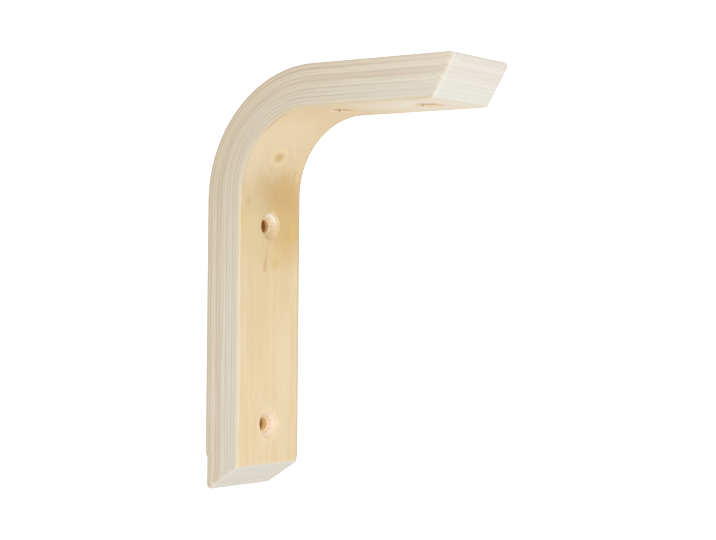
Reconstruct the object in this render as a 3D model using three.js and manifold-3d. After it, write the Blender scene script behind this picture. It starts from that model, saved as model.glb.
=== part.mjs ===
// Laminated wooden shelf bracket: one L-shaped bend of glued veneers, with a leg that lies flat on the
// wall, a rounded bend, and an arm that carries the shelf. Millimetres, +Z up.
// The wall plane is Y = 0 and the arm reaches towards -Y. X = 0 is the middle of the width.
// The origin lies on the wall face, half-way between the two wall screws.

import * as THREE from 'three';
import { mergeVertices } from 'three/addons/utils/BufferGeometryUtils.js';
import Module from 'manifold-3d';

// Overall size. The height and the reach run to the sharp corners of the two tips, before they are rounded
const bracketHeight = 200;
const armReach = 140;
const bracketWidth = 46;

// The board: equal veneers glued over a mould
const veneerCount = 10;
const veneerThickness = 2;
const boardThickness = veneerCount * veneerThickness;

// The bend: the outer face follows a wider arc than the inner one, and the board is pressed a little
// thinner in the middle of the bend
const outerBendRadius = 62;
const innerBendRadius = 38;
const bendSteps = 32;

// The slanted end cuts: the outer face is longer than the inner one by this much
const footCutRise = 12.5;
const armCutRun = 12;

// Softened edges: the two long thin tips, and every edge along the sides
const tipRounding = 2;
const tipSteps = 5;
const edgeEasing = 0.7;

// Screw holes, drilled from the inner face and countersunk there
const screwBoreDiameter = 6.5;
const countersinkDiameter = 14;
const countersinkAngle = 90;
const drillSides = 32;

// Screw places: heights above the foot on the leg, distances from the wall along the arm
const wallScrewHeights = [32, 127];
const shelfScrewReaches = [62, 110.5];

// A splinter missing from the back edge of one side, at the foot
const splinterLength = 19;
const splinterDepth = 1.1;
const splinterWidth = 5;

// How far a cutting shape runs past the surface that it cuts
const cutOverrun = 2;

const originHeight = (wallScrewHeights[0] + wallScrewHeights[wallScrewHeights.length - 1]) / 2;
const footZ = -originHeight;
const topZ = bracketHeight - originHeight;
const undersideZ = topZ - boardThickness;

const wasm = await Module();
wasm.setup();

// The side outline, drawn with the distance from the wall to the right and the height upwards. It runs
// up the inner face, round the inside of the bend, out under the arm, and back over the top to the foot
function bracketOutline() {
  const footTip = new THREE.Vector2(0, footZ);
  const footInner = new THREE.Vector2(boardThickness, footZ + footCutRise);
  const armTip = new THREE.Vector2(armReach, topZ);
  const armInner = new THREE.Vector2(armReach - armCutRun, undersideZ);
  const backTop = new THREE.Vector2(0, topZ);
  const innerCentre = new THREE.Vector2(boardThickness + innerBendRadius, undersideZ - innerBendRadius);
  const outerCentre = new THREE.Vector2(outerBendRadius, topZ - outerBendRadius);
  const quarter = Math.PI / 2;
  return new THREE.Shape([
    footInner,
    ...arcPoints(innerCentre, innerBendRadius, 2 * quarter, quarter, bendSteps),
    armInner,
    ...roundedTip(armInner, armTip, backTop),
    ...arcPoints(outerCentre, outerBendRadius, quarter, 2 * quarter, bendSteps),
    ...roundedTip(backTop, footTip, footInner),
  ]);
}

function arcPoints(centre, radius, fromAngle, toAngle, steps) {
  const points = [];
  for (let step = 0; step <= steps; step += 1) {
    const angle = THREE.MathUtils.lerp(fromAngle, toAngle, step / steps);
    points.push(new THREE.Vector2(Math.cos(angle), Math.sin(angle)).multiplyScalar(radius).add(centre));
  }
  return points;
}

// A small arc in place of a tip, touching the lines from the point before it and to the point after it
function roundedTip(before, tip, after) {
  const back = before.clone().sub(tip).normalize();
  const ahead = after.clone().sub(tip).normalize();
  const halfAngle = Math.acos(back.dot(ahead)) / 2;
  const inward = back.clone().add(ahead).normalize();
  const centre = tip.clone().addScaledVector(inward, tipRounding / Math.sin(halfAngle));
  const turn = Math.PI - 2 * halfAngle;
  const middle = tip.clone().sub(centre).angle();
  return arcPoints(centre, tipRounding, middle - turn / 2, middle + turn / 2, tipSteps);
}

// The board: the outline carried across the width, with its edges eased on both sides
function boardGeometry() {
  const geometry = new THREE.ExtrudeGeometry(bracketOutline(), {
    depth: bracketWidth - 2 * edgeEasing,
    bevelEnabled: true,
    bevelThickness: edgeEasing,
    bevelSize: edgeEasing,
    bevelOffset: -edgeEasing,
    bevelSegments: 1,
  });
  geometry.translate(0, 0, edgeEasing - bracketWidth / 2);
  // outline right -> -Y, outline up -> +Z, across the width -> -X
  geometry.applyMatrix4(new THREE.Matrix4().set(
    0, 0, -1, 0,
    -1, 0, 0, 0,
    0, 1, 0, 0,
    0, 0, 0, 1,
  ));
  return geometry;
}

// The drill's own shape: the bore through the board and the countersink cone at the inner face,
// turned about Y, with the outer face at 0 and the inner face at the board's thickness
function drillGeometry() {
  const boreRadius = screwBoreDiameter / 2;
  const sinkRadius = countersinkDiameter / 2;
  const slope = Math.tan(THREE.MathUtils.degToRad(countersinkAngle / 2));
  const sinkDepth = (sinkRadius - boreRadius) / slope;
  const mouthRadius = sinkRadius + cutOverrun * slope;
  const profile = [
    new THREE.Vector2(0, -cutOverrun),
    new THREE.Vector2(boreRadius, -cutOverrun),
    new THREE.Vector2(boreRadius, boardThickness - sinkDepth),
    new THREE.Vector2(mouthRadius, boardThickness + cutOverrun),
    new THREE.Vector2(0, boardThickness + cutOverrun),
  ];
  return new THREE.LatheGeometry(profile, drillSides);
}

function wallScrewHole(height) {
  const drill = drillGeometry();
  drill.rotateX(Math.PI);
  drill.translate(0, 0, footZ + height);
  return drill;
}

function shelfScrewHole(reach) {
  const drill = drillGeometry();
  drill.rotateX(-Math.PI / 2);
  drill.translate(0, -reach, topZ);
  return drill;
}

// The missing splinter: a slanted slice off the corner between the wall face and the -X side
function splinterGeometry() {
  const slope = splinterDepth / splinterWidth;
  const sideX = -bracketWidth / 2;
  const slice = new THREE.Shape([
    new THREE.Vector2(sideX - cutOverrun, -splinterDepth - cutOverrun * slope),
    new THREE.Vector2(sideX + splinterWidth + cutOverrun, cutOverrun * slope),
    new THREE.Vector2(sideX - cutOverrun, cutOverrun),
  ]);
  const geometry = new THREE.ExtrudeGeometry(slice, {
    depth: splinterLength + cutOverrun,
    bevelEnabled: false,
  });
  geometry.translate(0, 0, footZ - cutOverrun);
  return geometry;
}

function toSolid(geometry) {
  const bare = geometry.clone();
  bare.deleteAttribute('normal');
  bare.deleteAttribute('uv');
  const merged = mergeVertices(bare, 1e-4);
  const vertProperties = new Float32Array(merged.attributes.position.array);
  const triVerts = new Uint32Array(merged.index.array);
  return new wasm.Manifold(new wasm.Mesh({ numProp: 3, vertProperties, triVerts }));
}

function toGeometry(solid) {
  const mesh = solid.getMesh();
  const geometry = new THREE.BufferGeometry();
  geometry.setAttribute('position', new THREE.BufferAttribute(new Float32Array(mesh.vertProperties), 3));
  geometry.setIndex(new THREE.BufferAttribute(new Uint32Array(mesh.triVerts), 1));
  geometry.computeVertexNormals();
  return geometry;
}

function laminatedBracket() {
  let solid = toSolid(boardGeometry());
  const cuts = [
    ...wallScrewHeights.map(wallScrewHole),
    ...shelfScrewReaches.map(shelfScrewHole),
    splinterGeometry(),
  ];
  for (const cut of cuts) {
    solid = solid.subtract(toSolid(cut));
  }
  const birch = new THREE.MeshStandardMaterial({ color: 0xe2d5b8, roughness: 0.62, metalness: 0 });
  const mesh = new THREE.Mesh(toGeometry(solid), birch);
  mesh.name = 'laminated_bracket';
  return mesh;
}

const bracket = new THREE.Group();
bracket.add(laminatedBracket());

export default bracket;
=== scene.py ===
import math

import bpy
import numpy as np
from mathutils import Matrix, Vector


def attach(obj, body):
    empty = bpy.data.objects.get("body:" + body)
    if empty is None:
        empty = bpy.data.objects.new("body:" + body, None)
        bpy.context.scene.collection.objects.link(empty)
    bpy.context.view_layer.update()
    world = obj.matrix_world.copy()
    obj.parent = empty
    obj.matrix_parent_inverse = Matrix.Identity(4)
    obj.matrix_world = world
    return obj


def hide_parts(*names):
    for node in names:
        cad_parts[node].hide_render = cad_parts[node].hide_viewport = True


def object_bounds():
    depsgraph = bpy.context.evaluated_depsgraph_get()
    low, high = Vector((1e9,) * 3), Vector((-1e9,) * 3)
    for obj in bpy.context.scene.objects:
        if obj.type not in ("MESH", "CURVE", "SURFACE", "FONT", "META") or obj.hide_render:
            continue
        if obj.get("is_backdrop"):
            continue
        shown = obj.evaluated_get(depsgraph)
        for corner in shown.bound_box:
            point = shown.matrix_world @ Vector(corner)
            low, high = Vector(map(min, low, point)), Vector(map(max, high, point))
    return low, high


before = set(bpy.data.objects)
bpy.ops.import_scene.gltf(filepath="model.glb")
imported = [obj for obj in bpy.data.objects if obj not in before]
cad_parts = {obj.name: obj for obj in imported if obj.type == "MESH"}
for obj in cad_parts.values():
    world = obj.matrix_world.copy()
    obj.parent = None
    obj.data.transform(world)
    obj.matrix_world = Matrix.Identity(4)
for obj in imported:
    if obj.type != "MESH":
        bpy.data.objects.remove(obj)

# A shelf bracket bent from ten glued birch veneers. Scene in metres, +Z up, wall plane at Y = 0.
# The shape is worked out in board millimetres: u out from the wall, v up from the foot tip, w across
# from the near side, t through the board from the outer face to the inner one, s along the board.
# Tones are colours as seen, 0 to 255.
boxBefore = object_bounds()
mm = 0.001
rng = np.random.default_rng(41)
noiseTable = rng.random((128, 128))

board = {
    "height": 200.0,          # foot tip to shelf plane, to the sharp corners
    "reach": 140.0,           # wall plane to arm tip
    "width": 46.0,
    "thickness": 20.0,
    "plyCount": 10,
    "outerBend": 62.0,
    "innerBend": 38.0,
    "footRise": 12.5,         # slant of the foot cut
    "armRun": 12.0,           # slant of the arm cut
    "tipRounding": 2.0,       # the two long tips
    "cornerRounding": 1.3,    # the two blunt corners
    "arris": 0.75,            # sanded edge along both sides of the faces
    "cutArris": 1.7,          # the same round the end cuts, sanded more
    "originHeight": 79.5,
    "cellsTip": 5, "cellsLeg": 134, "cellsBend": 84, "cellsArm": 76,
    "cellsThrough": 40, "cellsAcross": 46, "cellsArris": 4,
}

screwHoles = {
    "bore": 6.5,
    "sink": 14.0,
    "sinkDepth": 3.75,
    "wallHeights": (32.0, 127.0),
    "shelfReaches": (62.0, 110.5),
    "blockCells": 18,         # cells of the face grid that each hole takes the place of
    "raggedRim": 0.28,        # how far torn fibres move the rim
    "wallRoughness": 0.10,
}

relief = {
    "glueGroove": 0.05,       # the glue lines sit a little below the sanded plies
    "plyStep": 0.035,         # some plies sanded lower than others
    "sideWave": 0.10,         # hand-sanded unevenness of the sides
    "faceWave": 0.07,
    "faceGrain": 0.022,
    "sawRidge": 0.035,        # ridges left by the saw on the end cuts
    "tornHeight": 0.26,       # torn fibres round the countersinks, and how far from the rim they reach
    "tornReach": 1.7,
    "splinterHeight": 19.0, "splinterDepth": 1.1, "splinterWidth": 5.0,
}

# The small sound knot in the bend: middle, size and relief in millimetres, and the tones of its surface
knot = {
    "s": 160.4, "w": 23.8,
    "length": 6.6, "breadth": 8.2,
    "raised": 0.07, "ringHeight": 0.035,
    "heart": (212, 178, 108), "heartShare": 0.75,
    "rings": [
        # distance from the middle in half sizes, half width, tone, strength; those past 2 are broken
        (1.3, 0.6, (246, 221, 168), 0.5),
        (2.0, 0.5, (212, 186, 142), 0.2),
        (2.7, 0.6, (240, 222, 184), 0.3),
        (3.4, 0.6, (212, 186, 142), 0.12),
    ],
}


# Smooth value noise: a seeded table of random numbers, blended between its four nearest entries
def smoothNoise(x, y, shift=0.0):
    x = np.asarray(x, float) + shift * 7.31 + 640.0
    y = np.asarray(y, float) + shift * 3.77 + 640.0
    xi, yi = np.floor(x).astype(int), np.floor(y).astype(int)
    fx, fy = x - xi, y - yi
    fx, fy = fx * fx * (3 - 2 * fx), fy * fy * (3 - 2 * fy)
    a = noiseTable[xi % 128, yi % 128]
    b = noiseTable[(xi + 1) % 128, yi % 128]
    c = noiseTable[xi % 128, (yi + 1) % 128]
    d = noiseTable[(xi + 1) % 128, (yi + 1) % 128]
    return (a * (1 - fx) + b * fx) * (1 - fy) + (c * (1 - fx) + d * fx) * fy - 0.5


# Smooth step: 0 below low, 1 above high, and 3x^2 - 2x^3 between them
def smoothStep(low, high, x):
    x = np.clip((x - low) / (high - low), 0.0, 1.0)
    return x * x * (3 - 2 * x)


# A direction of length 1
def unit(v):
    return v / np.linalg.norm(v)


# Half of a rounded corner: an arc that touches the two edge lines, from its middle to the line towards
# `along`, with the tangent length r / tan(half angle)
def halfCorner(tip, along, other, radius, cells):
    a, b = unit(along), unit(other)
    half = math.acos(float(a @ b)) / 2
    centre = tip + unit(a + b) * radius / math.sin(half)
    touch = tip + a * radius / math.tan(half)
    start, end = unit(tip - centre), unit(touch - centre)
    turn = math.acos(float(np.clip(start @ end, -1, 1)))
    f = np.linspace(0, 1, cells + 1)[:, None]
    arc = (np.sin((1 - f) * turn) * start + np.sin(f * turn) * end) / math.sin(turn)
    return centre + radius * arc


# A straight run of points between two places, without the first one
def straightRun(start, end, cells):
    return start + (end - start) * np.linspace(0, 1, cells + 1)[1:, None]


# The four border curves of the side outline, each from its rounded corner's middle to the next one's:
# outer and inner face run foot to arm, the two end cuts run outer to inner
def outlineCurves():
    b = board
    h, r, t = b["height"], b["reach"], b["thickness"]
    footTip, footInner = np.array([0.0, 0.0]), np.array([t, b["footRise"]])
    armTip, armInner = np.array([r, h]), np.array([r - b["armRun"], h - t])
    up, out = np.array([0.0, 1.0]), np.array([1.0, 0.0])
    n, tipR, cornerR = b["cellsTip"], b["tipRounding"], b["cornerRounding"]
    bend = np.linspace(0, math.pi / 2, b["cellsBend"] + 1)[1:]

    # up the leg, a quarter turn round the bend, and out along the arm
    def faceCurve(low, lowCut, high, highCut, radius, cornerRadius):
        first = halfCorner(low, up, lowCut, cornerRadius, n)
        last = halfCorner(high, -out, highCut, cornerRadius, n)[::-1]
        bendStart = np.array([low[0], high[1] - radius])
        arc = np.stack([low[0] + radius * (1 - np.cos(bend)), high[1] - radius + radius * np.sin(bend)], 1)
        leg = straightRun(first[-1], bendStart, b["cellsLeg"])
        arm = straightRun(arc[-1], last[0], b["cellsArm"])
        return np.vstack([first, leg, arc, arm, last[1:]])

    # straight from the tip to the inner corner, with both rounded off
    def cutCurve(tip, inner, tipAway, innerAway):
        cut = inner - tip
        first = halfCorner(tip, cut, tipAway, tipR, 4)
        last = halfCorner(inner, -cut, innerAway, cornerR, 2)[::-1]
        middle = straightRun(first[-1], last[0], b["cellsThrough"] - 6)
        return np.vstack([first, middle, last[1:]])

    outer = faceCurve(footTip, footInner - footTip, armTip, armInner - armTip, b["outerBend"], tipR)
    inner = faceCurve(footInner, footTip - footInner, armInner, armTip - armInner, b["innerBend"], cornerR)
    foot = cutCurve(footTip, footInner, up, up)
    arm = cutCurve(armTip, armInner, -out, -out)
    return outer, inner, foot, arm


# Length along a curve of points, starting from `start`
def pathLength(points, start):
    steps = np.linalg.norm(np.diff(points, axis=0), axis=1)
    return start + np.concatenate([[0.0], np.cumsum(steps)])


# A patch between four border curves: the straight blend of the two faces, plus what each end cut departs
# from its own chord, faded out over the first few rungs
def fillPatch(outer, inner, foot, arm, share, footFade, armFade):
    t = share[None, :, None]
    footBow = foot - ((1 - share)[:, None] * foot[0] + share[:, None] * foot[-1])
    armBow = arm - ((1 - share)[:, None] * arm[0] + share[:, None] * arm[-1])
    straight = (1 - t) * outer[:, None] + t * inner[:, None]
    return straight + footFade[:, None, None] * footBow[None] + armFade[:, None, None] * armBow[None]


# Grid rows and columns to four-cornered faces; `flip` turns them round
def gridFaces(index, flip=False):
    a, b, c, d = index[:-1, :-1], index[1:, :-1], index[1:, 1:], index[:-1, 1:]
    faces = np.stack([a, b, c, d], -1).reshape(-1, 4)
    return faces[:, ::-1] if flip else faces


# A missing splinter at the foot's near back edge: the wall face is moved out from the wall, most at the
# side and nothing at splinterWidth, and what lies behind follows less and less
def splinterWarp(u, v, w):
    r = relief
    top = r["splinterHeight"] + 1.2 * smoothNoise(w * 1.7, w * 0.0) - 0.25 * w
    across = np.clip(1 - w / r["splinterWidth"], 0, 1)
    depth = r["splinterDepth"] * across * smoothStep(0.0, 1.8, top - v)
    depth = depth * (1.0 + 0.2 * smoothNoise(v * 0.35, w * 1.3, 3))
    return u + depth * np.clip(1 - u / 6.0, 0, 1)


# How far each kind of surface stands out from its plain shape: glue grooves, ply steps, sanding waves,
# saw ridges, and the raised grain and torn fibres of the faces. `kind` is 0 face, 1 side, 2 end cut, and
# 3 a hole's wall, which is roughened where its rings are made
def surfaceRelief(kind, s, w, t):
    r = relief
    insideFace = smoothStep(15.0, 20.0, t)
    ply = t / (board["thickness"] / board["plyCount"]) + 0.35 * smoothNoise(s * 0.012, w * 0.02, 5)
    toGlue = np.abs(ply - np.round(ply)) * 2.0
    along = 0.6 + smoothNoise(s * 0.06, np.round(ply) * 3.1, 1)
    groove = -r["glueGroove"] * np.exp(-(toGlue / 0.35) ** 2) * along
    step = r["plyStep"] * smoothNoise(np.floor(ply) * 5.3, s * 0.006, 2) * 2
    wave = r["sideWave"] * (smoothNoise(s * 0.035, t * 0.09, 6) + 0.4 * smoothNoise(s * 0.11, t * 0.2, 7))
    side = groove + step + wave
    saw = r["sawRidge"] * smoothNoise(w * 0.06 + t * 0.02, w * 0.9 + t * 0.35, 8)
    saw = saw + 0.5 * r["sawRidge"] * smoothNoise(w * 0.5, w * 2.3 + t * 0.8, 9)
    end = 0.7 * groove + 0.5 * step + saw
    face = r["faceWave"] * (smoothNoise(s * 0.03, w * 0.10, 10) + 0.3 * smoothNoise(s * 0.10, w * 0.3, 11))
    face = face + r["faceGrain"] * smoothNoise(s * 0.11, w * 1.9, 12)
    face = face + insideFace * tornFibres(s, w) + insideFace * knotRelief(s, w)
    return np.select([kind == 1, kind == 2, kind == 3], [side, end, 0 * side], face)


# Torn fibres round a countersink: shallow pits and raised flecks that die out about 3 mm from the rim
def tornFibres(s, w):
    total = np.zeros_like(s)
    for number, place in enumerate(holePlaces()):
        away = np.hypot(s - place["s"], w - board["width"] / 2) - screwHoles["sink"] / 2
        ring = np.exp(-(np.clip(away, 0, None) / relief["tornReach"]) ** 2)
        flecks = smoothNoise(s * 0.42, w * 1.15, 20 + number)
        flecks = flecks + 0.5 * smoothNoise(s * 0.9, w * 2.1, 30 + number)
        total = total + ring * flecks * relief["tornHeight"]
    return total


# The small sound knot in the bend: a slightly raised heart with two faint rings
def knotRelief(s, w):
    k = knot
    away = np.hypot((s - k["s"]) / k["length"], (w - k["w"]) / k["breadth"]) * 2
    heart = k["raised"] * np.exp(-(away / 0.8) ** 2)
    rings = k["ringHeight"] * np.cos(away * 5.2) * np.exp(-(away / 2.2) ** 2)
    return heart + rings


# Where the holes lie: each with its path length along the inner face, its middle on that face, and the
# directions along the board and into the wood
def holePlaces():
    inner, bend = board["thickness"], board["innerBend"]
    underside = board["height"] - inner
    toArm = underside - bend + bend * math.pi / 2 - inner - bend
    return [{"s": v, "middle": (inner, v), "along": (0.0, 1.0), "into": (-1.0, 0.0)}
            for v in screwHoles["wallHeights"]] + [
            {"s": toArm + u, "middle": (u, underside), "along": (1.0, 0.0), "into": (0.0, 1.0)}
            for u in screwHoles["shelfReaches"]]


# The board's mesh: the outline's border carried across the width with sanded arrises, the two side
# patches between the borders, and each screw hole let into the faces as rings from a square to a circle
def boardMesh():
    b = board
    outer, inner, foot, arm = outlineCurves()
    rungs, layers = len(outer) - 1, b["cellsThrough"]
    sOuter, sInner = pathLength(outer, 0.0), pathLength(inner, b["footRise"])
    share = pathLength(foot, 0.0) / pathLength(foot, 0.0)[-1]

    # the closed border, clockwise seen from the near side, and its outward direction
    border = np.vstack([outer[:-1], arm[:-1], inner[:0:-1], foot[:0:-1]])
    count = len(border)
    tangent = np.roll(border, -1, 0) - np.roll(border, 1, 0)
    tangent /= np.linalg.norm(tangent, axis=1)[:, None]
    outward = np.stack([-tangent[:, 1], tangent[:, 0]], 1)
    borderS = np.concatenate([sOuter[:-1], np.interp(share, [0, 1], [sOuter[-1], sInner[-1]])[:-1],
                              sInner[:0:-1], np.interp(share, [0, 1], [sOuter[0], sInner[0]])[:0:-1]])
    borderT = np.concatenate([np.zeros(rungs), share[:-1] * b["thickness"],
                              np.full(rungs, b["thickness"]), share[:0:-1] * b["thickness"]])
    onCut = np.full(rungs, False)
    onCut[:b["cellsTip"]] = onCut[-b["cellsTip"]:] = True
    onCut = np.concatenate([onCut, np.full(layers, True), onCut, np.full(layers, True)])

    # rows across the width: a quarter round at each side, wider at the end cuts, and even steps between
    phi = np.linspace(math.pi / 2, 0, b["cellsArris"] + 1)
    radius = b["cutArris"] + (b["arris"] - b["cutArris"]) * smoothStep(0.6, 3.0, cutDistance(border))[:, None]
    nearW, nearIn = radius * (1 - np.sin(phi)), radius * (1 - np.cos(phi))
    midW = radius + (b["width"] - 2 * radius) * np.linspace(0, 1, b["cellsAcross"] + 1)[1:-1]
    rowW = np.hstack([nearW, midW, b["width"] - nearW[:, ::-1]])
    rowIn = np.hstack([nearIn, 0 * midW, nearIn[:, ::-1]])
    rowTilt = np.concatenate([-np.sin(phi), np.zeros(midW.shape[1]), np.sin(phi)[::-1]])
    rows = rowW.shape[1]

    uv = border[:, None] - rowIn[..., None] * outward[:, None]
    tubePoint = np.concatenate([uv, rowW[..., None]], -1)
    flat = np.sqrt(1 - rowTilt ** 2)
    tubeOut = np.concatenate([outward[:, None] * flat[None, :, None],
                              np.broadcast_to(rowTilt[None, :, None], (count, rows, 1))], -1)
    tubeIndex = np.arange(count * rows).reshape(count, rows)

    # side patches: the border moved in by the arris, filled between
    edge = uv[:, 0]
    fade = np.clip(1 - np.minimum(sOuter, sInner - b["footRise"]) / 9.0, 0, 1) ** 2
    fadeArm = np.clip(1 - (sOuter[-1] - sOuter) / 9.0, 0, 1) ** 2
    slot = np.zeros((rungs + 1, layers + 1), int)
    slot[:-1, 0] = np.arange(rungs)
    slot[-1, :-1] = rungs + np.arange(layers)
    slot[1:, -1] = (rungs + layers + np.arange(rungs))[::-1]
    slot[0, 1:] = (2 * rungs + layers + np.arange(layers))[::-1]
    side = fillPatch(edge[slot[:, 0]], edge[slot[:, -1]], edge[slot[0]], edge[slot[-1]],
                     share, fade, fadeArm)
    sideS = (1 - share)[None] * sOuter[:, None] + share[None] * sInner[:, None]
    sideT = np.broadcast_to(share[None] * b["thickness"], sideS.shape)
    middle = (slice(1, -1), slice(1, -1))
    inside = side[middle].reshape(-1, 2)
    near = np.zeros((rungs + 1, layers + 1), int)
    near[middle] = count * rows + np.arange(len(inside)).reshape(rungs - 1, layers - 1)
    far = near + np.where(near > 0, len(inside), 0)
    borderMask = np.ones(near.shape, bool)
    borderMask[middle] = False
    near[borderMask] = tubeIndex[slot[borderMask], 0]
    far[borderMask] = tubeIndex[slot[borderMask], rows - 1]

    # the border band's faces, leaving out the blocks that the holes take
    keep = np.ones((count, rows - 1), bool)
    blocks = []
    n = screwHoles["blockCells"]
    k0 = b["cellsArris"] + (b["cellsAcross"] - n) // 2
    for place in holePlaces():
        u, v = place["middle"]
        i0 = int(np.argmin(np.abs(sInner - place["s"]))) - n // 2
        outerS = v if place["into"][0] else sOuter[-1] - (b["reach"] - u) + 0.9    # 0.9 for the rounded tip
        j0 = int(np.argmin(np.abs(sOuter - outerS))) - n // 2
        innerColumns = rungs + layers + (rungs - np.arange(i0, i0 + n + 1))
        outerColumns = np.arange(j0, j0 + n + 1)
        keep[innerColumns[1:], k0:k0 + n] = False
        keep[outerColumns[:-1], k0:k0 + n] = False
        blocks.append((place, tubeIndex[innerColumns, k0:k0 + n + 1], tubeIndex[outerColumns, k0:k0 + n + 1]))
    tubeFaces = gridFaces(np.vstack([tubeIndex, tubeIndex[:1]])).reshape(count, rows - 1, 4)
    band, outerHalf = np.arange(rows - 1), b["cellsArris"] // 2
    onArris = (band < outerHalf) | (band >= rows - 1 - outerHalf)
    tubeMaterial = np.where(onArris[None], 1, np.where(onCut[:, None], 2, 0)).astype(int)

    # every part of the mesh with its values by point and by face: the band, the two sides, each hole
    ones = np.ones((len(inside), 1))
    parts = [{"points": tubePoint.reshape(-1, 3), "outs": tubeOut.reshape(-1, 3),
              "kinds": np.repeat(np.where(onCut, 2.0, 0.0), rows),
              "s": np.repeat(borderS, rows), "t": np.repeat(borderT, rows),
              "faces": tubeFaces[keep], "materials": tubeMaterial[keep]}]
    for index, atW, facing in ((near, 0.0, -1.0), (far, b["width"], 1.0)):
        parts.append({"points": np.hstack([inside, atW * ones]),
                      "outs": np.hstack([0 * ones, 0 * ones, facing * ones]), "kinds": ones[:, 0],
                      "s": sideS[middle].ravel(), "t": sideT[middle].ravel(),
                      "faces": gridFaces(index, facing < 0), "materials": np.ones(rungs * layers, int)})
    base = count * rows + 2 * len(inside)
    for number, (place, innerBlock, outerBlock) in enumerate(blocks):
        hole = holeRings(number, place, parts[0]["points"], innerBlock, outerBlock, base)
        parts.append(hole)
        base += len(hole["points"])

    # the whole mesh, moved out by its relief, less near the edges, and then by the missing splinter
    whole = {name: np.concatenate([part[name] for part in parts]) for name in parts[0]}
    s, t, w = whole["s"], whole["t"], whole["points"][:, 2]
    soften = smoothStep(0.0, 0.8, secondNearest(whole["points"], t)) * 0.75 + 0.25
    height = surfaceRelief(whole["kinds"], s, w, t) * soften
    points = whole["points"] + whole["outs"] * height[:, None]
    points[:, 0] = splinterWarp(*points.T)
    edge = np.exp(-(secondNearest(points, t) / 0.9) ** 2)
    return {**whole, "points": points, "board": np.stack([s, w, t], 1), "edge": edge}


# Distance from the nearer end cut: square to the foot's slant, or to the arm's
def cutDistance(points):
    b = board
    u, v, full = points[:, 0], points[:, 1], b["thickness"]
    toFoot = (full * v - b["footRise"] * u) / math.hypot(full, b["footRise"])
    toArm = (full * (b["reach"] - u) - b["armRun"] * (b["height"] - v)) / math.hypot(full, b["armRun"])
    return np.minimum(toFoot, toArm)


# How near an edge a surface point is: of its distances to the sides, to the two faces and to the end
# cuts, the smallest is nothing, and the second smallest is the way to the edge
def secondNearest(points, t):
    b = board
    w = points[:, 2]
    toSide = np.minimum(w, b["width"] - w)
    toFace = np.minimum(t, b["thickness"] - t)
    return np.clip(np.sort(np.stack([toSide, toFace, cutDistance(points)]), axis=0)[1], 0, None)


# The border of a square block of points, once round
def roundTheBlock(block):
    return np.concatenate([block[:-1, 0], block[-1, :-1], block[:0:-1, -1], block[0, :0:-1]])


# One screw hole: rings at fixed angles round the drill's line. On the inner face they go from the square
# block to the ragged rim, then down the cone, down the bore, and out to the square block on the outer face
def holeRings(number, place, tube, innerBlock, outerBlock, base):
    h, width = screwHoles, board["width"]
    start, finish = roundTheBlock(innerBlock), roundTheBlock(outerBlock)
    centre = np.array([*place["middle"], width / 2])
    along, into = np.array([*place["along"], 0.0]), np.array([*place["into"], 0.0])
    across = np.array([0.0, 0.0, 1.0])
    top, bottom = tube[start], tube[finish]
    angleTop = np.arctan2((top - centre) @ across, (top - centre) @ along)
    angleBottom = np.arctan2((bottom - centre) @ across, (bottom - centre) @ along)
    turn = np.angle(np.exp(1j * (angleBottom - angleTop)))

    # drill profile: depth, radius, how far the angle has gone from the top's to the bottom's, kind
    rim, bore, deep, full = h["sink"] / 2, h["bore"] / 2, h["sinkDepth"], board["thickness"]
    coneDepth = np.linspace(0.12, deep, 11)
    coneRadius = rim - (rim - bore) * coneDepth / deep
    boreDepth = np.linspace(deep + 0.15, full - 0.05, 13)
    depth = np.concatenate([[0.0], coneDepth, boreDepth])
    radius = np.concatenate([[rim + 0.06], coneRadius, np.full(len(boreDepth), bore)])
    angle = angleTop[None] + turn[None] * np.clip(depth / full, 0, 1)[:, None]
    a, c = np.cos(angleTop) * 2.6, np.sin(angleTop) * 2.6     # a circle in the noise, so that the rim closes
    ragged = smoothNoise(a * 1.6, c * 1.6, 40 + number) + 0.7 * smoothNoise(a * 4.1, c * 4.1, 44 + number)
    rimMove = h["raggedRim"] * 2 * ragged[None] * np.exp(-depth / 1.3)[:, None]
    rough = h["wallRoughness"] * (smoothNoise(angle * 5.0, depth[:, None] * 1.3, 50 + number)
                                  + smoothNoise(angle * 13.0, depth[:, None] * 2.6, 54 + number))
    reach = radius[:, None] + rimMove + rough * smoothStep(0.0, 0.6, depth)[:, None]

    # a ring of points round the hole's axis, at a depth below the inner face
    def circle(depth, radius, angle):
        outwards = along * np.cos(angle)[..., None] + across * np.sin(angle)[..., None]
        return centre + into * depth + radius * outwards, outwards

    ring, outwards = circle(depth[:, None, None], reach[..., None], angle)
    blend = np.array([0.3, 0.55, 0.75, 0.9])[:, None, None]
    faceRings = top[None] * (1 - blend) + ring[:1] * blend
    exitRing = circle(full, bore + 0.12, angleBottom)[0]
    blendOut = np.array([0.0, 0.15, 0.4, 0.7])[:, None, None]
    exitRings = exitRing[None] * (1 - blendOut) + bottom[None] * blendOut
    rings = np.concatenate([faceRings, ring, exitRings])
    steps, size = rings.shape[:2]

    index = base + np.arange(steps * size).reshape(steps, size)
    index = np.vstack([start[None], index, finish[None]])
    index = np.hstack([index, index[:, :1]])
    faces = gridFaces(index, place["into"][0] != 0)
    wall = slice(len(blend) + 1, len(blend) + len(depth))
    kinds, materials = np.zeros(steps), np.zeros((len(index) - 1, size), int)
    kinds[wall] = materials[wall] = 3
    outs = np.concatenate([np.broadcast_to(-into, faceRings.shape), -outwards,
                           np.broadcast_to(into, exitRings.shape)])
    outs[len(blend)] = -into
    t = np.concatenate([np.full(len(blend), full), full - depth, np.zeros(len(blendOut))])
    s = place["s"] + (rings - centre) @ along
    return {"points": rings.reshape(-1, 3), "outs": outs.reshape(-1, 3), "faces": faces,
            "materials": materials.ravel(), "kinds": np.repeat(kinds, size), "s": s.ravel(),
            "t": np.repeat(t, size)}


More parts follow.
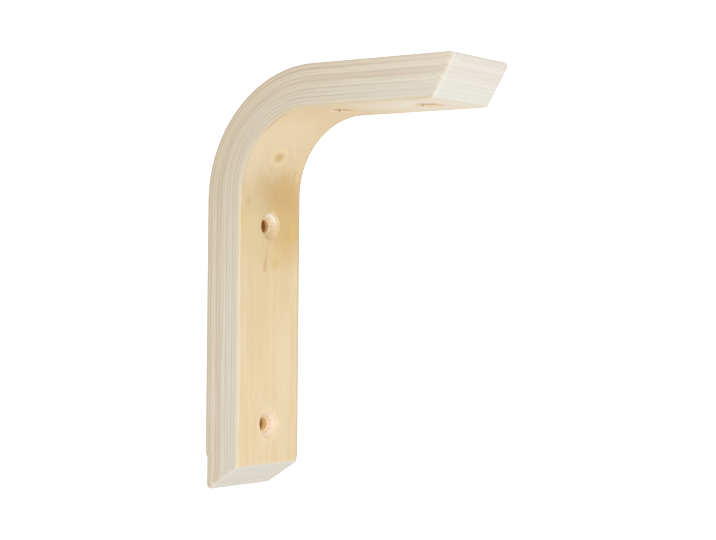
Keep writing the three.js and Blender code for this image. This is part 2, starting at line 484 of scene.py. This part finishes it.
# Board points to the part's frame: X = w - half width, Y = -u, Z = v - origin height, in metres
def toFrame(points):
    u, v, w = points.T
    return np.stack([w - board["width"] / 2, -u, v - board["originHeight"]], 1) * mm


# A new object of the scene
def addObject(name, data):
    made = bpy.data.objects.new(name, data)
    bpy.context.scene.collection.objects.link(made)
    return made


# A smoothly shaded mesh with its materials
def newMesh(name, points, faces, finishes):
    mesh = bpy.data.meshes.new(name)
    mesh.from_pydata(points.tolist(), [], faces.tolist())
    mesh.polygons.foreach_set("use_smooth", np.ones(len(faces), bool))
    for finish in finishes:
        mesh.materials.append(finish)
    return mesh


# The bracket as one object: points that no face uses are dropped, the rest go to the part's frame, and
# the two point attributes for the materials are written
def buildBracket(finishes):
    data = boardMesh()
    used = np.zeros(len(data["points"]), bool)
    used[data["faces"].ravel()] = True
    points = toFrame(data["points"])[used]
    faces = (np.cumsum(used) - 1)[data["faces"]]
    mesh = newMesh("bentBracket", points, faces, finishes)
    mesh.polygons.foreach_set("material_index", data["materials"].astype(np.int32))
    place = mesh.attributes.new("board", "FLOAT_VECTOR", "POINT")
    place.data.foreach_set("vector", data["board"][used].astype(np.float32).ravel())
    edge = mesh.attributes.new("edgeWear", "FLOAT", "POINT")
    edge.data.foreach_set("value", data["edge"][used].astype(np.float32))
    mesh.update()
    mesh.set_sharp_from_angle(angle=math.radians(40))
    print("bracket:", len(points), "points,", len(faces), "faces")
    return addObject("bentBracket", mesh)


# sRGB colour as seen, 0 to 255, to the linear value that a shader takes
def shade(r, g, b):
    c = np.array([r, g, b]) / 255.0
    linear = np.where(c <= 0.04045, c / 12.92, ((c + 0.055) / 1.055) ** 2.4)
    return (*[float(x) for x in linear], 1.0)


# Makes a node and its settings, and gives each input a value or a link
def node(tree, kind, inputs=None, **settings):
    made = tree.nodes.new(kind)
    for name, value in settings.items():
        setattr(made, name, value)
    for key, value in (inputs or {}).items():
        if isinstance(value, bpy.types.NodeSocket):
            tree.links.new(value, made.inputs[key])
        else:
            made.inputs[key].default_value = value
    return made


# A new node in the tree that the first socket among its inputs belongs to
def nodeOn(kind, inputs, **settings):
    tree = next(value.id_data for value in inputs.values() if isinstance(value, bpy.types.NodeSocket))
    return node(tree, kind, inputs, **settings)


# One arithmetic step on one to three values
def maths(operation, *values, clamp=False):
    return nodeOn("ShaderNodeMath", dict(enumerate(values)), operation=operation, use_clamp=clamp).outputs[0]


# Product of several values
def times(product, *factors):
    for factor in factors:
        product = maths("MULTIPLY", product, factor)
    return product


# How far a value is from a middle one: |value - middle|
def apart(value, middle):
    return maths("ABSOLUTE", maths("SUBTRACT", value, middle))


# A value taken from one range to another in a straight line, and held at its ends
def rescale(value, fromLow, fromHigh, toLow=0.0, toHigh=1.0, **settings):
    inputs = {0: value, 1: fromLow, 2: fromHigh, 3: toLow, 4: toHigh}
    return nodeOn("ShaderNodeMapRange", inputs, **settings).outputs[0]


# Blend of two colours by a mask: a x (1 - mask) + b x mask
def blendColour(mask, a, b):
    return nodeOn("ShaderNodeMix", {0: mask, 6: a, 7: b}, data_type="RGBA").outputs[2]


# Tones, 0 to 255, laid over a colour one after the other: colour x (1 - mask) + tone x mask
def tint(colour, *layers):
    for mask, tone in layers:
        colour = blendColour(mask, colour, shade(*tone))
    return colour


# Colours at their places along 0 to 1, blended in straight lines between them
def ramp(value, stops):
    made = nodeOn("ShaderNodeValToRGB", {0: value})
    elements = made.color_ramp.elements
    while len(elements) < len(stops):
        elements.new(0.5)
    for element, (place, colour) in zip(elements, stops):
        element.position = place
        element.color = colour
    return made.outputs[0]


# Noise on the board's own millimetres, stretched by the three scales
def boardNoise(vector, scales, detail=3.0, rough=0.55, shift=(0.0, 0.0, 0.0)):
    placed = nodeOn("ShaderNodeMapping", {"Vector": vector, "Scale": scales, "Location": shift}).outputs[0]
    inputs = {"Vector": placed, "Scale": 1.0, "Detail": detail, "Roughness": rough}
    return nodeOn("ShaderNodeTexNoise", inputs).outputs[0]


# The three parts s, w and t of a board place
def splitPlace(place):
    return nodeOn("ShaderNodeSeparateXYZ", {0: place}).outputs


# An empty node group with named inputs and outputs, given as label and kind
def newGroup(name, inputs, outputs):
    tree = bpy.data.node_groups.new(name, "ShaderNodeTree")
    for way, sockets in (("INPUT", inputs), ("OUTPUT", outputs)):
        for label, kind in sockets.items():
            tree.interface.new_socket(label, in_out=way, socket_type="NodeSocket" + kind)
    return tree.nodes.new("NodeGroupInput").outputs, tree.nodes.new("NodeGroupOutput")


# Joins a group's results to its named outputs and hands the group back
def closeGroup(put, **results):
    tree = put.id_data
    for label, value in results.items():
        tree.links.new(value, put.inputs[label])
    return tree


# Puts a shared group into a material and hands back its outputs
def useGroup(group, label="", **inputs):
    return nodeOn("ShaderNodeGroup", inputs, node_tree=group, label=label).outputs


# An attribute of the mesh
def attribute(tree, name, output):
    return node(tree, "ShaderNodeAttribute", attribute_name=name).outputs[output]


# The ten veneers through the thickness: t is wandered a little by noise, then read as a ramp of ply tones;
# the glue mask is high where t is near a whole ply, and comes and goes along the board
def plyLayersGroup():
    get, put = newGroup("plyLayers", {"Board": "Vector", "Wander": "Float"},
                        {"Tone": "Color", "Glue": "Float", "Band": "Float"})
    place = get["Board"]
    drift = maths("SUBTRACT", boardNoise(place, (0.02, 0.02, 0.12), 2), 0.5)
    wandered = maths("MULTIPLY_ADD", drift, get["Wander"], splitPlace(place)[2])
    share = maths("DIVIDE", wandered, board["thickness"], clamp=True)
    tone = ramp(share, [(at, shade(*colour)) for at, colour in plyTones["through"]])
    plies = times(share, float(board["plyCount"]))
    nearest = maths("ROUND", plies)
    line = rescale(apart(plies, nearest), 0.035, 0.14, 1, 0, interpolation_type="SMOOTHSTEP")
    pastFirst = maths("GREATER_THAN", nearest, 0.5)
    beforeLast = maths("LESS_THAN", nearest, board["plyCount"] - 0.5)
    strength = boardNoise(place, (0.015, 0.05, 0.9), 2, shift=(3, 1, 7))
    glue = times(line, pastFirst, beforeLast, rescale(strength, 0.35, 0.65, 0.25))
    band = boardNoise(place, (0.012, 0.05, 1.6), 4, 0.6, (11, 2, 5))
    return closeGroup(put, Tone=tone, Glue=glue, Band=band)


# Wood grain along the board: broad streaks, fine fibres and short dark pores, all noise stretched along s
def woodGrainGroup():
    get, put = newGroup("woodGrain", {"Board": "Vector"},
                        {"Streaks": "Float", "Fibres": "Float", "Pores": "Float", "Height": "Float"})
    bow = boardNoise(get["Board"], (0.010, 0.03, 0.03), 1, shift=(5, 0, 0))
    along, across, through = splitPlace(get["Board"])
    across = maths("ADD", across, maths("MULTIPLY_ADD", bow, 5, -2.5))
    bent = nodeOn("ShaderNodeCombineXYZ", {0: along, 1: across, 2: through}).outputs[0]
    streaks = boardNoise(bent, (0.016, 0.36, 0.36), 4, 0.6)
    fibres = boardNoise(bent, (0.05, 1.25, 1.5), 4, 0.7, (2, 9, 4))
    dashes = boardNoise(bent, (0.28, 4.4, 4.4), 1, 0.5, (7, 3, 1))
    pores = rescale(dashes, 0.63, 0.72)
    height = maths("SUBTRACT", times(fibres, 0.7), times(pores, 0.8))
    height = maths("MULTIPLY_ADD", streaks, 0.35, height)
    return closeGroup(put, Streaks=streaks, Fibres=fibres, Pores=pores, Height=height)


# Handling wear: the edge attribute broken up by noise, so that it comes and goes
def edgeWearGroup():
    get, put = newGroup("edgeWear", {"Board": "Vector", "Amount": "Float"}, {"Mask": "Float"})
    edge = attribute(put.id_data, "edgeWear", "Fac")
    broken = boardNoise(get["Board"], (0.10, 0.5, 0.5), 4, 0.6, (1, 6, 2))
    mask = maths("MULTIPLY", times(edge, rescale(broken, 0.3, 0.62, 0.35)), get["Amount"], clamp=True)
    return closeGroup(put, Mask=mask)


# A soft patch on the board: an oval round a place, 1 in its middle and 0 outside, its border wandered. Away
# is the distance from the middle in half sizes
def patchMaskGroup():
    get, put = newGroup("patchMask", {"Board": "Vector", "Centre": "Vector", "Size": "Vector",
                                      "Ragged": "Float"}, {"Mask": "Float", "Away": "Float"})
    away = get["Board"]
    for operation, other in (("SUBTRACT", get["Centre"]), ("DIVIDE", get["Size"])):
        away = nodeOn("ShaderNodeVectorMath", {0: away, 1: other}, operation=operation).outputs[0]
    away = nodeOn("ShaderNodeVectorMath", {0: away}, operation="LENGTH").outputs["Value"]
    wobble = boardNoise(get["Board"], (0.16, 0.42, 0.42), 3, 0.6, (4, 4, 4))
    away = maths("ADD", away, times(maths("SUBTRACT", wobble, 0.5), get["Ragged"]))
    mask = rescale(away, 0.25, 1, 1, 0, interpolation_type="SMOOTHSTEP")
    return closeGroup(put, Mask=mask, Away=away)


# The four shared groups, and the four finishes in the order of the mesh's material numbers
def buildFinishes():
    layers, grain, wear, patch = plyLayersGroup(), woodGrainGroup(), edgeWearGroup(), patchMaskGroup()
    print("finish groups:", *bpy.data.node_groups.keys())
    return [faceFinish(grain, wear, patch), sideFinish(layers, grain, wear),
            endFinish(layers, wear), boreFinish(patch)]


# An empty material with its shader, the board place that its textures read, and that place's three parts
def newFinish(name):
    finish = bpy.data.materials.new(name)
    finish.use_nodes = True
    tree = finish.node_tree
    tree.nodes.clear()
    surface = tree.nodes.new("ShaderNodeBsdfPrincipled")
    node(tree, "ShaderNodeOutputMaterial", {0: surface.outputs[0]})
    place = attribute(tree, "board", "Vector")
    return finish, surface, place, splitPlace(place)


# Joins colour, roughness and a bump of so many millimetres to the shader
def joinSurface(surface, colour, roughness, height, bumpMm):
    bump = nodeOn("ShaderNodeBump", {"Height": height, "Distance": bumpMm * mm, "Strength": 0.7})
    results = {"Base Color": colour, "Roughness": roughness, "Normal": bump.outputs[0]}
    for label, value in results.items():
        surface.id_data.links.new(value, surface.inputs[label])


# 1 round the middle of the bend and 0 towards the straight parts, from the distance along the board
def bendMiddle(along):
    return rescale(apart(along, 168), 16.5, 25.5, 1, 0)


edgeLines = {
    "outer": (188, 168, 142),     # darker line where the wall and shelf faces meet the sides
    "inner": (186, 168, 138),     # the same on the inner face, from the bend on
}


# Darker lines along the arrises: the edge attribute times a mask for the outer face, and one for the
# inner face that begins in the bend on the near side and earlier on the far side
def edgeLine(parts, colour):
    along, across, through = parts
    edge = rescale(attribute(along.id_data, "edgeWear", "Fac"), 0.45, 0.9)
    outer = times(edge, rescale(through, 0.5, 1.8, 0.6, 0), rescale(along, 200, 270, 1, 0.3))
    farSide = times(rescale(across, 30, 40), rescale(along, 60, 115, 0.6, 2.4))
    length = maths("MAXIMUM", rescale(along, 150, 172), farSide)
    inner = maths("MULTIPLY", times(edge, rescale(through, 18.8, 19.8, 0, 0.3)), length, clamp=True)
    return tint(colour, (outer, edgeLines["outer"]), (inner, edgeLines["inner"]))


veneer = {
    "base": (235, 214, 175),
    "light": (240, 221, 185),
    "dark": (226, 202, 159),
    "fibre": (222, 196, 150),
    "pore": (200, 168, 118),
    "wear": (238, 226, 200), "wearAmount": 0.35,
    "nearHighlightStrip": (232, 219, 196),     # painted highlight along the near edge, where the rounded arris catches the light, and a greyer strip along the far edge
    "farStrip": (200, 184, 158),
    "bendStrip": (219, 207, 187),     # a greyer broad strip along the near arris in the bend, with a darker line at its border
    "bendLine": (190, 170, 136),
    "bumpMm": 0.05,
}

# What the inner face's veneer carries, in path millimetres s, w: place, half size, tone, strength, ragged
faceFigures = [
    # partly painted shade: the honey patches are warm veneer tone plus the shade and warm reflected light in
    # the corner under the arm
    ("honey shade zone", (131, 36), (30, 22), (215, 180, 118), 0.86, 0.45),
    ("honey shade cast", (124, 24), (31, 38), (229, 200, 144), 0.32, 0.3),
    ("honey shade heart", (144, 33), (13, 26), (213, 178, 117), 0.45, 0.7),
    ("honey shade band", (146, 9), (10, 15), (223, 196, 138), 0.4, 0.6),
    ("yellow streak at the edge", (130, 1.8), (7, 2.4), (232, 206, 132), 0.75, 0.8),
    ("yellow streak", (126, 40), (10, 3), (226, 196, 112), 0.65, 0.8),
    ("reddish spot", (107.5, 19), (4.5, 2.2), (218, 178, 132), 0.75, 0.8),
    ("reddish tail", (112.5, 20), (4.5, 1), (214, 176, 124), 0.5, 0.7),
    ("yellow fleck", (113, 27), (4, 4), (232, 208, 140), 0.6, 1.1),
    ("lens figure", (138, 6.5), (3.5, 3.6), (220, 186, 122), 0.65, 0.9),
    ("olive spot", (109.5, 26.5), (4.5, 5), (222, 196, 128), 0.6, 1.2),
    ("pale left of the hole", (127, 9), (14, 8), (238, 214, 170), 0.5, 0.5),
    ("pale run above the foot", (60, 34), (34, 8), (244, 226, 192), 0.35, 0.4),
    ("warm cloud", (84, 12), (20, 9), (228, 202, 158), 0.3, 0.5),
    ("pale bend", (171, 20), (21, 30), (239, 221, 192), 0.6, 0.35),
    ("pale near edge", (157, 6.5), (25, 9.5), (238, 219, 187), 0.75, 0.3),
    ("pale arm", (262, 23), (62, 40), (242, 232, 219), 0.86, 0.2),
]

# Torn, paler fibres round each countersink, in the order of holePlaces: share of the ring, tone
tornRims = [(0.6, (246, 230, 208)), (0.6, (226, 202, 156)), (0.4, (226, 204, 168)), (0.4, (226, 204, 168))]


# Face veneer: warm base with grain, figures at their places, honey ones partly painted shade, the knot, torn
# rims, paler worn edges
def faceFinish(grain, wear, patch):
    finish, surface, place, parts = newFinish("birchVeneer")
    along, across, through = parts
    v, k, full = veneer, knot, board["thickness"]
    inside = rescale(through, 16, 19)
    grainOut = useGroup(grain, Board=place)
    colour = tint(shade(*v["dark"]), (rescale(grainOut["Streaks"], 0.3, 0.7), v["light"]), (0.5, v["base"]),
                  (rescale(grainOut["Fibres"], 0.40, 0.66, 0, 0.45), v["fibre"]))
    for name, spot, size, tone, strength, ragged in faceFigures:
        figure = useGroup(patch, name, Board=place, Centre=(*spot, full), Size=(*size, 8), Ragged=ragged)
        colour = tint(colour, (times(figure["Mask"], inside, strength), tone))

    heart = useGroup(patch, "knot", Board=place, Centre=(k["s"], k["w"], full),
                     Size=(k["length"] / 2, k["breadth"] / 2, 8), Ragged=0.9)
    broken = boardNoise(place, (0.22, 0.25, 0.2), 2, 0.6, (2, 8, 3))
    broken = times(rescale(broken, 0.42, 0.58), inside)
    for middle, half, tone, strength in k["rings"]:
        ring = rescale(apart(heart["Away"], middle), 0, half, strength, 0)
        colour = tint(colour, (times(ring, inside if middle < 2 else broken), tone))
    colour = tint(colour, (times(heart["Mask"], inside, k["heartShare"]), k["heart"]),
                  (times(grainOut["Pores"], 0.35), v["pore"]))

    flecks = boardNoise(place, (0.55, 1.3, 1), 3, 0.6, (6, 2, 8))
    for hole, (share, tone) in zip(holePlaces(), tornRims):
        spot = (hole["s"], board["width"] / 2 + 1, full)
        rim = useGroup(patch, "torn rim", Board=place, Centre=spot, Size=(10.5, 10.5, 20), Ragged=0.7)
        near = rescale(rim["Away"], 0.62, 1.05, 1, 0)
        colour = tint(colour, (times(near, rescale(flecks, 0.45, 0.62, 0, share), inside), tone))

    # the edges: wear, the painted highlight along the near edge, the broad strip and its line in the bend,
    # the far strip
    broad = times(bendMiddle(along), inside)
    line = times(rescale(apart(across, 2.6), 0.1, 0.8, 0.8, 0), rescale(along, 171, 179), broad)
    colour = tint(colour, (useGroup(wear, Board=place, Amount=v["wearAmount"])["Mask"], v["wear"]),
                  (times(rescale(across, 0.9, 2, 0.25, 0), inside), v["nearHighlightStrip"]),
                  (times(rescale(across, 1.9, 2.8, 0.9, 0), broad), v["bendStrip"]), (line, v["bendLine"]),
                  (times(rescale(across, 44, 45.2, 0, 0.7), inside), v["farStrip"]))
    roughness = rescale(grainOut["Streaks"], 0.3, 0.7, 0.50, 0.64)
    joinSurface(surface, edgeLine(parts, colour), roughness, grainOut["Height"], v["bumpMm"])
    return finish


plyTones = {
    # place through the thickness from the outer face, and the tone seen there
    "through": [
        (0.0, (221, 206, 184)), (0.05, (214, 198, 174)), (0.085, (206, 189, 164)),
        (0.125, (210, 195, 171)), (0.165, (224, 213, 193)), (0.225, (226, 216, 197)),
        (0.275, (209, 194, 171)), (0.350, (212, 196, 173)), (0.430, (209, 194, 172)),
        (0.480, (221, 211, 193)), (0.550, (225, 217, 199)), (0.610, (214, 205, 188)),
        (0.680, (219, 212, 196)), (0.740, (222, 216, 201)), (0.800, (213, 206, 190)),
        (0.870, (218, 213, 198)), (0.940, (221, 216, 201)), (1.000, (226, 212, 180)),
    ],
    "glue": (176, 158, 134),
    "wander": 0.9, "endWander": 0.5,
    "paleBand": (232, 226, 212),
    "fibre": (196, 182, 160),
    "bend": (202, 182, 150),          # a little browner in the bend, and paler towards the arm's end
    "armEnd": (238, 231, 218),
    "warmMottle": (218, 200, 178), "coolMottle": (228, 228, 214),
    "wear": (230, 221, 202), "wearAmount": 0.4,
    "bumpMm": 0.05,
}


# Ply edges on the sides: the layer tones, darker glue lines, fine grain in each ply, paler worn edges
def sideFinish(layers, grain, wear):
    finish, surface, place, parts = newFinish("birchPlyEdges")
    p, along = plyTones, parts[0]
    ply = useGroup(layers, Board=place, Wander=p["wander"])
    grainOut = useGroup(grain, Board=place)
    toBend, pastBend = rescale(along, 105, 150, 0.55, 0.75), rescale(along, 205, 250, 1, 0.4)
    inBend = times(rescale(along, 90, 150, 0, 0.3), rescale(along, 200, 250, 1, 0))
    mottle = boardNoise(place, (0.035, 0.3, 0.45), 4, 0.65, (8, 3, 2))
    worn = useGroup(wear, Board=place, Amount=p["wearAmount"])["Mask"]
    worn = times(worn, maths("MULTIPLY_ADD", bendMiddle(along), -0.9, 1))
    colour = tint(ply["Tone"], (rescale(ply["Band"], 0.35, 0.68, 0, 0.4), p["paleBand"]),
                  (rescale(grainOut["Fibres"], 0.4, 0.75, 0, 0.35), p["fibre"]),
                  (times(ply["Glue"], toBend, pastBend), p["glue"]), (inBend, p["bend"]),
                  (rescale(along, 262, 310, 0, 0.4), p["armEnd"]),
                  (rescale(mottle, 0.52, 0.68, 0, 0.3), p["warmMottle"]),
                  (rescale(mottle, 0.44, 0.3, 0, 0.35), p["coolMottle"]), (worn, p["wear"]))
    roughness = rescale(grainOut["Streaks"], 0.3, 0.7, 0.58, 0.72)
    height = maths("MULTIPLY_ADD", ply["Glue"], -0.9, grainOut["Height"])
    joinSurface(surface, edgeLine(parts, colour), roughness, height, p["bumpMm"])
    return finish


endCut = {
    "pale": (238, 240, 238), "paleShare": 0.62,
    "speck": (206, 194, 172),
    "sawn": (246, 243, 236),
    # painted shade: the foot's cut faces down, so it is painted greyer and darker
    "foot": (214, 206, 190),      # the foot's cut is a little greyer
    "wear": (222, 214, 200), "wearAmount": 0.5,
    "bumpMm": 0.06,
}


# End cuts: the same layers, much paler, with sawn fibre ends and fine saw marks across
def endFinish(layers, wear):
    finish, surface, place, parts = newFinish("birchEndCut")
    e, along = endCut, parts[0]
    ply = useGroup(layers, Board=place, Wander=plyTones["endWander"])
    speck = boardNoise(place, (1.6, 2.2, 2.2), 4, 0.7)
    sawn = boardNoise(place, (0.3, 1.8, 0.12), 3, 0.6, (2, 5, 1))
    glue = times(ply["Glue"], rescale(along, 60, 120, 0.55, 0.16))
    worn = useGroup(wear, Board=place, Amount=e["wearAmount"])["Mask"]
    colour = tint(ply["Tone"], (e["paleShare"], e["pale"]), (rescale(speck, 0.4, 0.7, 0, 0.4), e["speck"]),
                  (rescale(sawn, 0.45, 0.7, 0, 0.35), e["sawn"]), (glue, plyTones["glue"]),
                  (rescale(along, 20, 60, 0.3, 0), e["foot"]), (worn, e["wear"]))
    height = maths("MULTIPLY_ADD", sawn, 0.8, times(speck, 0.6))
    joinSurface(surface, colour, rescale(speck, 0.3, 0.7, 0.66, 0.82), height, e["bumpMm"])
    return finish


drilled = {
    "faceVeneer": 19.05,            # the cone cuts the face veneer down to here, then the next one
    "secondVeneer": 17.05,
    # the honey tones of the upper hole are partly painted shade under the arm, as on the face
    "faceTone": (240, 220, 186), "faceToneHoneyShade": (232, 208, 162),
    "secondTone": (247, 227, 204), "secondToneHoneyShade": (236, 212, 178),
    "thirdTone": (255, 232, 200),
    "glueRing": (180, 156, 136),
    "torn": (220, 192, 152),
    "boreMouth": (255, 228, 176),
    # painted shade: brown and dark down the bore, where little light reaches
    "boreShadeDeep": (188, 130, 56),
    # painted light: a pale patch on the upper hole's far quadrant, the part of the cone that faces the light
    "paintedLightPatch": ((132.6, 27), (8, 8), (250, 243, 228)),   # upper hole's far quadrant
    # painted shade: the arm's cones darken below the rim, where less light reaches
    "armShade": (184, 160, 118),     # the arm's cones, seen only near their rims
    "splitMarks": [((201.19, 27.2), (0.8, 0.8)), ((248.59, 26.5), (0.75, 0.8))],    # s and w, half size
    "splitTone": (120, 86, 50), "splitStrength": 0.7,
    "bumpMm": 0.12,
}


# Drilled wood: the veneers cut by the cone one below the other, with a glue ring under each, brown painted
# shade darker down the bore, torn fibres, a painted light patch and painted shade on the lower half in the
# upper hole, painted shade in the arm's cones, and small dark splits in the arm's countersinks
def boreFinish(patch):
    finish, surface, place, (along, across, depth) = newFinish("birchDrilled")
    d = drilled
    torn = boardNoise(place, (0.9, 2, 2.4), 4, 0.65, (9, 1, 3))
    ragged = maths("ADD", depth, maths("MULTIPLY_ADD", torn, 0.5, -0.25))
    # where the honey patches lie: partly painted shade under the arm
    onHoneyShade = times(rescale(along, 100, 118), rescale(along, 140, 160, 1, 0))

    # the three veneers, the upper hole's honey tones (partly painted shade) and its painted light patch
    spot, size, tone = d["paintedLightPatch"]
    paintedLight = useGroup(patch, "cream patch", Board=place, Centre=(*spot, 18.4), Size=(*size, 4.5), Ragged=0.6)
    face = tint(shade(*d["faceTone"]), (onHoneyShade, d["faceToneHoneyShade"]))
    second = tint(shade(*d["secondTone"]), (onHoneyShade, d["secondToneHoneyShade"]), (paintedLight["Mask"], tone))
    toSecond = rescale(ragged, d["secondVeneer"] - 0.15, d["secondVeneer"] + 0.15)
    toFace = rescale(ragged, d["faceVeneer"] - 0.15, d["faceVeneer"] + 0.2, 0, 0.9)
    colour = blendColour(toFace, blendColour(toSecond, shade(*d["thirdTone"]), second), face)
    glueRings = ((d["secondVeneer"], 0.34, 0.7), (d["faceVeneer"], 0.22, 0.3), (17.9, 0.2, 0.22))
    for ringDepth, half, strength in glueRings:
        ring = rescale(apart(ragged, ringDepth), 0.04, half, strength, 0)
        colour = tint(colour, (times(ring, rescale(torn, 0.38, 0.58, 0.15)), d["glueRing"]))
    # painted shade in the arm's cones, darker below the rim
    paintedArmConeShade = times(rescale(along, 196, 200), rescale(depth, 18.9, 19.3, 0.85, 0))
    # painted shade: the lower half of the upper hole's cone, below its lit quadrant, tinted darker and warmer
    colour = tint(colour, (times(rescale(along, 122, 125.5, 0.5, 0), onHoneyShade), d["faceToneHoneyShade"]),
                  (rescale(torn, 0.46, 0.68, 0, 0.55), d["torn"]), (paintedArmConeShade, d["armShade"]))

    # the bore below the cone: pale at its mouth, then brown painted shade, sooner in the upper hole under the
    # arm
    boreEnd = board["thickness"] - screwHoles["sinkDepth"]
    mouth = rescale(along, 60, 90, boreEnd - 2.2, boreEnd - 1.1)
    # painted shade, darker down the bore
    dark = rescale(ragged, maths("SUBTRACT", mouth, 1.5), mouth, 1, 0)
    colour = tint(colour, (rescale(ragged, boreEnd - 0.1, boreEnd + 0.25, 1, 0), d["boreMouth"]),
                  (dark, d["boreShadeDeep"]))
    for spot, half in d["splitMarks"]:
        mark = useGroup(patch, "split", Board=place, Centre=(*spot, 19.2), Size=(*half, 1.4), Ragged=0.3)
        colour = tint(colour, (times(mark["Mask"], d["splitStrength"]), d["splitTone"]))
    joinSurface(surface, colour, rescale(torn, 0.3, 0.7, 0.66, 0.84), torn, d["bumpMm"])
    return finish


studio = {
    "skyStrength": 0.495,
    "target": (0.0, -0.055, 0.02),
    "lights": [
        # name, place, size, power in watts
        ("keyLight", (0.15, -1.5, 1.05), 1.1, 8.2),
        ("fillLight", (-1.6, -0.2, 0.35), 1.4, 5.7),
        ("frontLight", (-0.95, -1.0, 0.02), 0.5, 3.3),     # beside the camera, lights the holes
    ],
    "lightColour": (1.0, 0.985, 0.965),
    "floorDrop": 0.30,
    "floorColour": (250, 249, 247),
    "floorGlow": 0.19, "floorGlowSeen": 0.39,     # for all rays, and added for the camera's own
    "backdropRadius": 0.8,
}


# A strength with something added for the camera's own rays: strength + added x is camera ray
def moreSeen(tree, added, strength):
    seen = node(tree, "ShaderNodeLightPath").outputs["Is Camera Ray"]
    return maths("MULTIPLY_ADD", seen, added, strength)


# Floor and backdrop in one: flat, then a quarter round, then upright, carried sideways; height follows
# a circle past the point where the floor stops
def buildStage():
    s = studio
    radius, floorEnd = s["backdropRadius"], 2.2
    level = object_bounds()[0].z - s["floorDrop"]
    ahead, side = np.array([0.811, 0.585]), np.array([0.585, -0.811])
    turn = np.linspace(0, math.pi / 2, 17)
    along = np.concatenate([np.linspace(-3.5, floorEnd, 12), floorEnd + radius * np.sin(turn[1:]),
                            [floorEnd + radius] * 2])
    height = np.concatenate([np.zeros(12), radius - radius * np.cos(turn[1:]), [2.0, 3.6]])
    span = np.linspace(-4.0, 4.0, 9)
    ground = along[:, None, None] * ahead + span[None, :, None] * side
    upright = np.broadcast_to((level + height)[:, None, None], (*ground.shape[:2], 1))
    points = np.concatenate([ground, upright], -1).reshape(-1, 3)
    index = np.arange(len(points)).reshape(ground.shape[:2])
    finish = bpy.data.materials.new("palePaper")
    finish.use_nodes = True
    tree = finish.node_tree
    surface = tree.nodes["Principled BSDF"]
    surface.inputs["Base Color"].default_value = shade(*s["floorColour"])
    surface.inputs["Roughness"].default_value = 0.9
    surface.inputs["Emission Color"].default_value = (1, 1, 1, 1)
    tree.links.new(moreSeen(tree, s["floorGlowSeen"], s["floorGlow"]), surface.inputs["Emission Strength"])
    floor = addObject("studioFloor", newMesh("studioFloor", points, gridFaces(index, True), [finish]))
    floor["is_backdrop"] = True


# Where an object stands and how it is turned: its right, up and back directions and its place as columns
def placing(right, up, back, place):
    pose = np.eye(4)
    pose[:3] = np.stack([right, up, back, place], 1)
    return Matrix(pose.tolist())


# A round soft light that looks at the target: back = -(target - place), right = Z x back, up = back x right
def areaLight(name, place, size, power):
    lamp = bpy.data.lights.new(name, "AREA")
    lamp.shape, lamp.size, lamp.energy = "DISK", size, power
    lamp.color = studio["lightColour"]
    back = unit(np.array(place) - np.array(studio["target"]))
    right = unit(np.cross([0, 0, 1.0], back))
    addObject(name, lamp).matrix_world = placing(right, np.cross(back, right), back, place)


# The sky and the lights. The sky is white to the camera and dimmer as a light
def buildStudio():
    scene = bpy.context.scene
    scene.view_settings.view_transform = "Standard"
    world = bpy.data.worlds.new("softSky")
    world.use_nodes = True
    tree = world.node_tree
    tree.nodes["Background"].inputs[0].default_value = (1, 1, 1, 1)
    strength = moreSeen(tree, 1.0 - studio["skyStrength"], studio["skyStrength"])
    tree.links.new(strength, tree.nodes["Background"].inputs[1])
    scene.world = world
    for name, place, size, power in studio["lights"]:
        areaLight(name, place, size, power)
    print("studio:", len(studio["lights"]), "soft lights and a white sky")


photoCamera = {
    "place": (-0.65633, -0.54661, 0.01559),
    "right": (0.58585, -0.81037, 0.00914),
    "up": (-0.01613, -0.00038, 0.99987),
    "lens": 88.107,           # for a sensor 36 mm wide
}


# The photo's viewpoint: position, and the picture's right and up directions; it looks along up x right
def buildCamera():
    c = photoCamera
    data = bpy.data.cameras.new("photoCamera")
    data.lens, data.sensor_width, data.sensor_fit = c["lens"], 36.0, "HORIZONTAL"
    data.clip_start, data.clip_end = 0.02, 30.0
    camera = addObject("photoCamera", data)
    right = unit(np.array(c["right"]))
    back = unit(np.cross(right, c["up"]))
    camera.matrix_world = placing(right, np.cross(back, right), back, c["place"])
    bpy.context.scene.camera = camera


finishes = buildFinishes()
bracket = buildBracket(finishes)
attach(bracket, "root")
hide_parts("laminated_bracket")
buildStage()
buildStudio()
buildCamera()

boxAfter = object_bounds()
moved = max(abs(a - b) for p, q in zip(boxBefore, boxAfter) for a, b in zip(p, q))
print("box kept within", round(moved / mm, 2), "mm")
